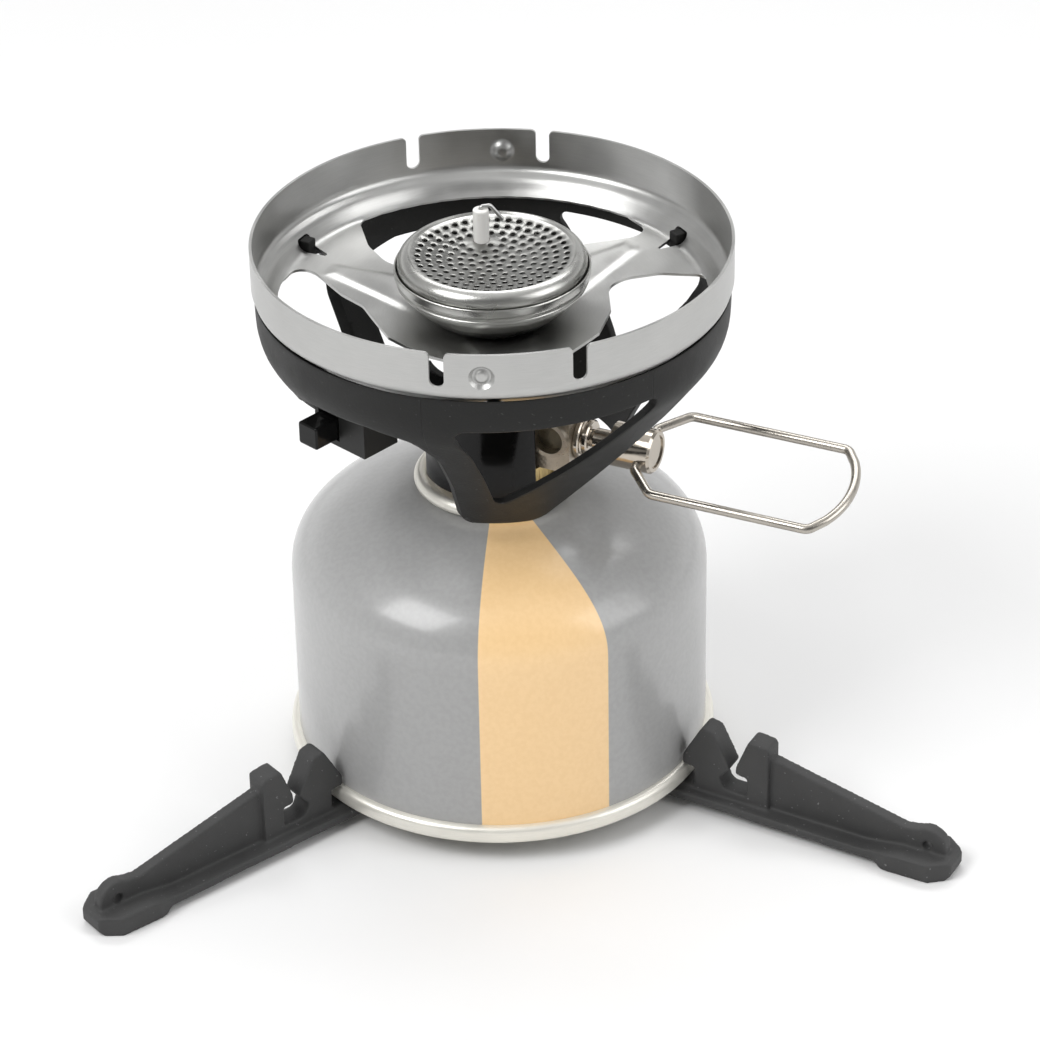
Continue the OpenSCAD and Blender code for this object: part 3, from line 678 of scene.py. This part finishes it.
def join(name, *objects):
    """One mesh object out of several, with their modifiers applied."""
    bm = bmesh.new()
    graph = bpy.context.evaluated_depsgraph_get()
    for obj in objects:
        part = bpy.data.meshes.new_from_object(obj.evaluated_get(graph))
        part.transform(obj.matrix_world)
        bm.from_mesh(part)
    mesh = bpy.data.meshes.new(name)
    bm.to_mesh(mesh)
    bm.free()
    for obj in objects:
        bpy.data.objects.remove(obj)
    return new_object(name, mesh)


def build_head():
    dish_r, depth, port_r, rings = 16.9, 2.0, 0.62, 7
    edge_z = CAP_TOP - 0.4
    pitch = (dish_r - 1.6) / rings
    ports = []
    for k in range(rings + 1):
        for i in range(max(6 * k, 1)):
            p = polar(pitch * k, 60 * i / max(k, 1) + 11 * k)
            if (p - POST).length > POST_R + port_r + 0.3:
                ports.append(p)
    centres = np.array([tuple(p) for p in ports])

    def dish(drop):
        def place(x, y):
            away = np.sqrt(((centres - (x, y)) ** 2).sum(axis=1)).min()
            rho = min(1.0, hypot(x, y) / dish_r)
            lip = 0.16 * (1 - soft_step(port_r, port_r + 0.45, away))
            return x, y, edge_z - depth * (1 - rho ** 2) - lip - drop
        return place

    holes = [circle(p, port_r, 14) for p in ports] + [circle(POST, POST_R + 0.12, 24)]
    rims = [q for p in ports for q in circle(p, port_r + 0.3, 10)]
    face = plate("dish", circle(Vector((0, 0)), dish_r, 120), holes, 1.0, dish(0), dish(0.3), extra=rims)
    out_r, round_r, wall = CAP_R, 2.5, 0.4
    shoulder = arc(out_r - round_r, CAP_TOP - round_r, round_r, 0, 84, 12)
    under = arc(out_r - round_r, CAP_TOP - round_r, round_r - wall, 84, 0, 12)
    skirt = [(out_r - wall, 116.3), (out_r - 0.08, 116.3), (out_r, 116.5)]
    lap = [(dish_r + 0.06, edge_z + 0.06), (dish_r - 0.1, edge_z - 0.05), (dish_r - 0.1, edge_z - 0.3)]
    crest = lathe("crest", skirt + shoulder + lap + under)
    cap = join("burner_cap_dish", face, crest)
    smooth(cap, 40)
    dress(cap, mat("head_steel"), "stove", "head_steel", "burner_cap")

    rim_z = bowl_high.z
    foot_z = PAN_FLOOR + 0.02
    outer = eased([(10.4, foot_z), (12.4, 107.5), (15.6, 110.2), (18.1, 112.9), (18.75, 114.1)], 5)
    outer += arc(19.25, 114.85, 0.45, -80, 70, 6) + arc(19.35, 115.85, 0.14, -100, -220, 4)
    outer += arc(19.75, 116.75, 0.45, -90, 0, 5)
    outer += [(HEAD_R, rim_z - 0.35)] + arc(HEAD_R - 0.22, rim_z - 0.22, 0.22, 0, 180, 6)
    inner = [(HEAD_R - 0.5, 116.2), (18.6, 116.0), (18.2, 114.9), (17.6, 113.3), (15.2, 110.9),
             (11.8, 108.1), (10.2, PAN_FLOOR + 0.5), (4.9, PAN_FLOOR + 0.5), (4.9, foot_z)]
    bowl = lathe("burner_bowl_pressing", outer + inner)
    dress(bowl, mat("head_steel"), "stove", "head_steel", "burner_bowl")

    bore, tip_z = 0.47, post_high.z
    sleeve = [(bore, post_low.z), (POST_R, post_low.z), (POST_R, tip_z - 0.5)]
    sleeve += arc(POST_R - 0.4, tip_z - 0.4, 0.4, 0, 90, 4) + [(0.6, tip_z), (bore, tip_z - 0.2)]
    post = lathe("electrode_post", sleeve, 48)
    post.location = (POST.x * MM, POST.y * MM, 0)
    dress(post, mat("ceramic"), "stove", "ceramic", "electrode_ceramic")
    top = tip_z + 0.5
    hook = fillet([(0, top, 0.5), (2, top, 0.8), (4.6, top - 3.6, 0), (0, post_low.z, 0)])[:-1]
    line = [(0, post_low.z - 1)] + [tuple(p) for p in hook]
    lean = radians(14)
    route = [(POST.x + s * cos(lean), POST.y + s * sin(lean), z) for s, z in line]
    core = wire("electrode_core", route, 0.42)
    dress(core, mat("hardware_steel"), "stove", "hardware_steel", "electrode_wire")


build_head()


# ---------- plastic base ----------

def block(name, low, high, az, edge):
    """Box between two corners, with rounded edges, turned to an azimuth."""
    bm = bmesh.new()
    bmesh.ops.create_cube(bm, size=1)
    low, high = Vector(low), Vector(high)
    for v in bm.verts:
        v.co = Vector((l + (c + 0.5) * (h - l) for c, l, h in zip(v.co, low, high))) * MM
    bmesh.ops.transform(bm, matrix=Matrix.Rotation(radians(az), 4, "Z"), verts=bm.verts)
    mesh = bpy.data.meshes.new(name)
    bm.to_mesh(mesh)
    bm.free()
    obj = smooth(new_object(name, mesh), 40)
    bevel(obj, edge, 3)
    return obj


def build_base():
    outer = [(48.9, BAND_TOP), (48.7, 108), (48.1, 105), (47.2, 103), (45.9, 101), (44.4, 98.8),
             (28, 73.2), (27.8, 72.8)]
    radii, heights = zip(*reversed(eased(outer, 4)))
    wall, view, seam, band_low = 2.2, 295, 110, 103.7
    scale = radians(1) * 45
    foot = fillet([(-46, 104.4, 0), (-40, 103.5, 3), (-33, 101.6, 8), (-27.4, 96, 12), (-22.6, 86, 20),
                   (-17.6, 72.9, 3.5), (-3.6, 72.9, 5), (16.3, 94, 20), (27, 101.8, 12), (35, 103.6, 3),
                   (42, 104.4, 0)])
    window = fillet([(-29.5, 106.4, 2), (16.2, 107, 1.4), (9, 100.6, 8), (-5.6, 87.6, 8),
                     (-13.6, 79.8, 1.8), (-18.4, 90, 6), (-22.6, 98, 6)])

    def radius(z):
        return float(np.interp(z, heights, radii))

    def on_wall(centre, p):
        return Vector(((centre + degrees(asin(p.x / radius(p.y)))) * scale, p.y))

    feet = [view - 120, view, view + 120]
    outline = [Vector((seam * scale, band_low))]
    for centre in feet:
        outline += [on_wall(centre, p) for p in foot if p.y < band_low]
    outline += [Vector(((seam + 360) * scale, band_low)), Vector(((seam + 360) * scale, BAND_TOP)),
                Vector((seam * scale, BAND_TOP))]
    windows = [[on_wall(centre, p) for p in resample(window, 2)] for centre in feet]

    def outside(u, z):
        return polar(radius(z), u / scale, z)

    def within(u, z):
        """Inner face; the edges of feet and windows run level with the direction the foot is seen from."""
        az = u / scale
        centre = min(feet, key=lambda f: abs(az - f))
        away = radius(z) * sin(radians(az - centre))
        level = degrees(asin(max(-1, min(1, away / (radius(z) - wall)))))
        turned = az + (centre + level - az) * (1 - soft_step(99, 103.7, z))
        return polar(radius(z) - wall, turned, z - 1.4 * soft_step(108, BAND_TOP, z))

    shell = plate("base_shell", outline, windows, 1.2, outside, within, 0.38, True)
    clips = []
    for az in SPOKES:
        for reach, top in ((3.3, 111.4), (2.4, 112.9)):
            clips.append(block("clip", (43.6, -1.4, 107.5), (43.6 + reach, 1.4, top), az, 0.3))
    base = join("base_moulding", shell, *clips)
    smooth(base, 42)
    weighted(base)
    dress(base, mat("base_plastic"), "stove", "base_plastic", "plastic_base")


mould_lines(SURFACES["base_plastic"], (253, 310, 13, 70, 133, 190))
build_base()


# ---------- canister ----------

def build_canister():
    shoulder_z, dome_z, wall, foot_z = 46.3, 68.1, 0.8, 9

    def dome(r, top):
        turns = [64 * i / 40 for i in range(41)]
        return [(r * cos(radians(a)) ** 1.17, shoulder_z + (top - shoulder_z) * sin(radians(a)) ** 0.79)
                for a in turns]

    side = [(CAN_R, foot_z + (shoulder_z - foot_z) * i / 12) for i in range(12)]
    mouth = [(15.4, 66.9), (14.6, 66.9), (14.6, 66.2)]
    within = dome(CAN_R - wall, dome_z - wall)[::-1]
    shell = [(CAN_R - wall, foot_z)] + side + dome(CAN_R, dome_z) + mouth + within
    body = lathe("canister_shell", shell, 256, angle=50)
    dress(body, mat("canister_paint"), "stabiliser", "canister_paint", "canister_body")

    bead = 1.4
    seam = arc(SEAM_R - bead, seam_low.z + bead, bead, -100, 0)
    seam += arc(SEAM_R - bead, foot_z - bead, bead, 0, 90)
    over = [(CAN_R - wall, foot_z), (CAN_R - 1.1, 11.4), (40, 12.8), (20, 14.9), (0, seam_high.z)]
    below = [(0, seam_high.z - 0.8), (20, 14.1), (39.8, 12), (42.2, 10.9), (42.6, 6.4), (43, 5.5)]
    base = lathe("canister_seam", seam + over + below, 256)
    dress(base, mat("canister_tin"), "stabiliser", "canister_tin", "canister_base")

    tower, tower_top, stem = 5.55, 76.8, 1.5
    rim = eased([(15.2, 67.02), (16.6, 67.0), (17.5, 67.8), (17.45, 68.9), (16.5, 69.9), (15.3, 69.6),
                 (14.4, 68.5)], 5)
    thread = []
    for i in range(14):
        z = 68.4 + i * 0.6
        thread += [(tower, z), (tower - 0.28, z + 0.3)]
    floor = [(13.5, 67.5), (12.9, 67.2), (tower, 67.2)]
    socket = [(tower - 0.4, tower_top), (stem, tower_top), (stem, 70), (0, 70)]
    cup = lathe("valve_cup", [(0, 66.4), (14.4, 66.4), (14.4, 67.4)] + rim + floor + thread + socket)
    dress(cup, mat("canister_tin"), "stabiliser", "canister_tin", "canister_valve_cup")


build_canister()


# ---------- stabiliser legs ----------

for leg, leg_body in (("leg_rear", "stabiliser"), ("leg_left", "leg_left"), ("leg_right", "leg_right")):
    dress(moulded(leg, leg + "_moulding", 0.3, 9), mat("leg_plastic"), leg_body, "leg_plastic", leg)


# ---------- valve, knob and handle ----------

def on_valve_axis(obj):
    """Lays a piece turned about +Z along the valve's axis."""
    turn = Matrix.Rotation(radians(VALVE_AZ), 4, "Z") @ Matrix.Rotation(pi / 2, 4, "Y")
    obj.data.transform(Matrix.Translation((0, 0, VALVE_Z * MM)) @ turn)
    return obj


def build_valve():
    body = softened("valve_body", "valve_casting", 0.25, 3)
    dress(body, mat("nickel_cast"), "stove", "nickel", "valve_body")

    bore, thread_r, back, face = 1.9, 4.2, 15.6, 19.5
    steps = [(bore, 2.6), (2.3, 2.7), (3.5, 2.7), (3.8, 2.4), (3.8, 1.5), (4.1, 1.3), (4.75, 1.3), (5, 1.05),
             (5, 0.25), (4.75, 0), (thread_r, 0)]
    profile = [(r, face + x) for r, x in steps] + [(thread_r, back), (bore, back)]
    nut = on_valve_axis(lathe("gland", profile, 96))
    dress(nut, mat("nickel"), "stove", "nickel", "gland_nut")

    knob = softened("control_knob", "knob", 0.18, 2)
    dress(knob, mat("nickel"), "knob", "nickel", "control_knob")
    spindle = softened("valve_spindle", "spindle", 0.12, 2)
    dress(spindle, mat("nickel"), "knob", "nickel", "valve_spindle")
    cap = softened("regulator_cap", "back_cap", 0.3, 3)
    dress(cap, mat("nickel"), "stove", "nickel", "regulator_cap")


def build_handle():
    """Wire loop; its half is drawn in its own plane and mirrored."""
    half, near_y, length, end_r, end_y = 11.8, 6.15, 45, 17, 8.5
    end = [(length - end_r + sqrt(end_r ** 2 - y ** 2), y) for y in np.linspace(end_y, 0, 9)]
    corners = [(0, -5, 0), (0, near_y, 1.6), (half - near_y, half, 2.4), (length - 4.8, half, 2.2),
               (*end[0], 0)]
    line = fillet(corners, 8)[1:-1]
    one = [(0, 1.6)] + [tuple(p) for p in line] + end
    loop = one + [(x, -y) for x, y in one[-2::-1]]
    obj = wire("handle_wire", [(x, y, 0) for x, y in loop], 1, 8)
    turn = Matrix.Rotation(radians(VALVE_AZ), 4, "Z") @ Matrix.Translation((34 * MM, 0, VALVE_Z * MM))
    obj.data.transform(turn @ Matrix.Rotation(radians(15), 4, "X"))
    dress(obj, mat("wire_steel"), "handle", "wire_steel", "wire_handle")


build_valve()
build_handle()
SOFTENED = (    # CAD node, new piece, look, slot, edge radius, body
    ("canister_collar", "knurled_collar", "brass", "brass", 0.15, "stove"),
    ("regulator_shroud", "guard", "gloss_black", "gloss_black", 0.3, "stove"),
    ("jet", "jet_turned", "brass", "brass", 0.1, "stove"),
    ("mixing_tube", "tube", "nickel", "nickel", 0.15, "stove"),
    ("lock_nut", "nut", "hardware_steel", "hardware_steel", 0.3, "stove"),
    # the plug wears the dark painted-shade brass, not its own brass colour
    ("port_plug", "plug", "port_painted_shade", "brass", 0.1, "stove"),
    ("igniter_housing", "igniter_case", "igniter_black", "igniter_black", 0.35, "stove"),
    ("piezo_button", "push_button", "gloss_black", "gloss_black", 0.4, "button"),
    ("pivot_rivet", "rivet", "hardware_steel", "hardware_steel", 0.25, "stabiliser"))
for node, name, look, slot, width, body in SOFTENED:
    dress(softened(node, name, width, 3), mat(look), body, slot, node)


# ---------- CAD pieces that are kept ----------

KEPT = {"canister_valve_stem": "rubber", "canister_seal": "rubber", "regulator_diaphragm": "rubber",
        "spindle_oring": "rubber", "pivot_washer": "hardware_steel", "pin_depressor": "brass",
        "regulator_spring": "hardware_steel", "piezo_spring": "hardware_steel", "set_screw": "black_steel",
        "piezo_crystal": "ceramic"}
for node, look in KEPT.items():
    NODES[node].data.materials.clear()
    NODES[node].data.materials.append(mat(look))

# The ignition lead: its route is the same as in the frame
lead = eased([(-18.3, 3.6, 88.5), (-17, 4.6, 88.6), (-16.4, 7.4, 91.5), (-14.5, 9.6, 95), (-10.5, 11, 96.6),
              (-6.5, 10.6, 96.2), (-3.2, 9.3, 96.9), (POST.x, POST.y, 98.6),
              (POST.x, POST.y, post_low.z - 1.02)], 5)
dress(wire("lead_sleeve", lead, 0.88, 5), mat("lead_sleeve"), "stove", "lead_sleeve", "ignition_lead")


# ---------- floor, light and camera ----------

def build_stage():
    mesh = bpy.data.meshes.new("floor")
    size = 6
    corners = [(-size, -size, 0), (size, -size, 0), (size, size, 0), (-size, size, 0)]
    mesh.from_pydata(corners, [], [(0, 1, 2, 3)])
    floor = new_object("floor", mesh)
    paper = Surface("floor_paper", (0.86, 0.86, 0.86), 0.0, 0.8)
    paper.vary(paper.noise(3, 2), 0.99, 1.01)
    mesh.materials.append(paper.mat)

    world = bpy.data.worlds.new("studio")
    bpy.context.scene.world = world
    world.use_nodes = True
    tree = world.node_tree
    place = tree.nodes.new("ShaderNodeTexCoord")
    split = tree.nodes.new("ShaderNodeSeparateXYZ")
    ramp = tree.nodes.new("ShaderNodeValToRGB")
    tree.links.new(place.outputs["Generated"], split.inputs[0])
    tree.links.new(split.outputs[2], ramp.inputs[0])
    tree.links.new(ramp.outputs[0], tree.nodes["Background"].inputs[0])
    dimmer = tree.nodes.new("ShaderNodeMapRange")
    tree.links.new(split.outputs[1], dimmer.inputs[0])
    for socket, value in zip(dimmer.inputs[1:], (-0.9, 0.6, 0.45, 1.25)):
        socket.default_value = value
    tree.links.new(dimmer.outputs[0], tree.nodes["Background"].inputs[1])
    stops = [(0.0, 0.95), (0.18, 0.85), (0.38, 0.45), (0.6, 0.32), (0.8, 0.55), (1.0, 1.0)]
    while len(ramp.color_ramp.elements) < len(stops):
        ramp.color_ramp.elements.new(0.5)
    for element, (where, shade) in zip(ramp.color_ramp.elements, stops):
        element.position = where
        element.color = (shade, shade, shade, 1)

    def softbox(name, where, target, size_x, size_y, watts):
        light = bpy.data.lights.new(name, "AREA")
        light.shape, light.size, light.size_y, light.energy = "RECTANGLE", size_x, size_y, watts
        lamp = bpy.data.objects.new(name, light)
        lamp.location = where
        lamp.rotation_euler = (Vector(target) - Vector(where)).to_track_quat("-Z", "Y").to_euler()
        bpy.context.scene.collection.objects.link(lamp)

    middle = (0, 0, 0.08)
    softbox("key_softbox", (-0.55, -0.35, 0.75), middle, 0.5, 0.5, 5.5)
    softbox("fill_softbox", (0.7, -0.3, 0.5), middle, 0.5, 0.6, 2.5)
    softbox("back_softbox", (0.1, 0.5, 0.85), middle, 0.9, 0.25, 3)


def build_camera():
    data = bpy.data.cameras.new("camera")
    data.sensor_width, data.lens = 36, 138.46
    data.clip_start, data.clip_end = 0.05, 30
    camera = bpy.data.objects.new("camera", data)
    at = Vector((0.004582, -0.721146, 0.504008))
    pitch, roll = radians(31.823), radians(-1.152)
    forward = Vector((0, cos(pitch), -sin(pitch)))
    right = Vector((1, 0, 0))
    up = right.cross(forward)
    rolled_right = right * cos(roll) + up * sin(roll)
    rolled_up = -right * sin(roll) + up * cos(roll)
    turn = Matrix((rolled_right, rolled_up, -forward)).transposed().to_4x4()
    camera.matrix_world = Matrix.Translation(at) @ turn
    bpy.context.scene.collection.objects.link(camera)
    bpy.context.scene.camera = camera


build_stage()
build_camera()
bpy.context.scene.view_settings.view_transform = "Standard"
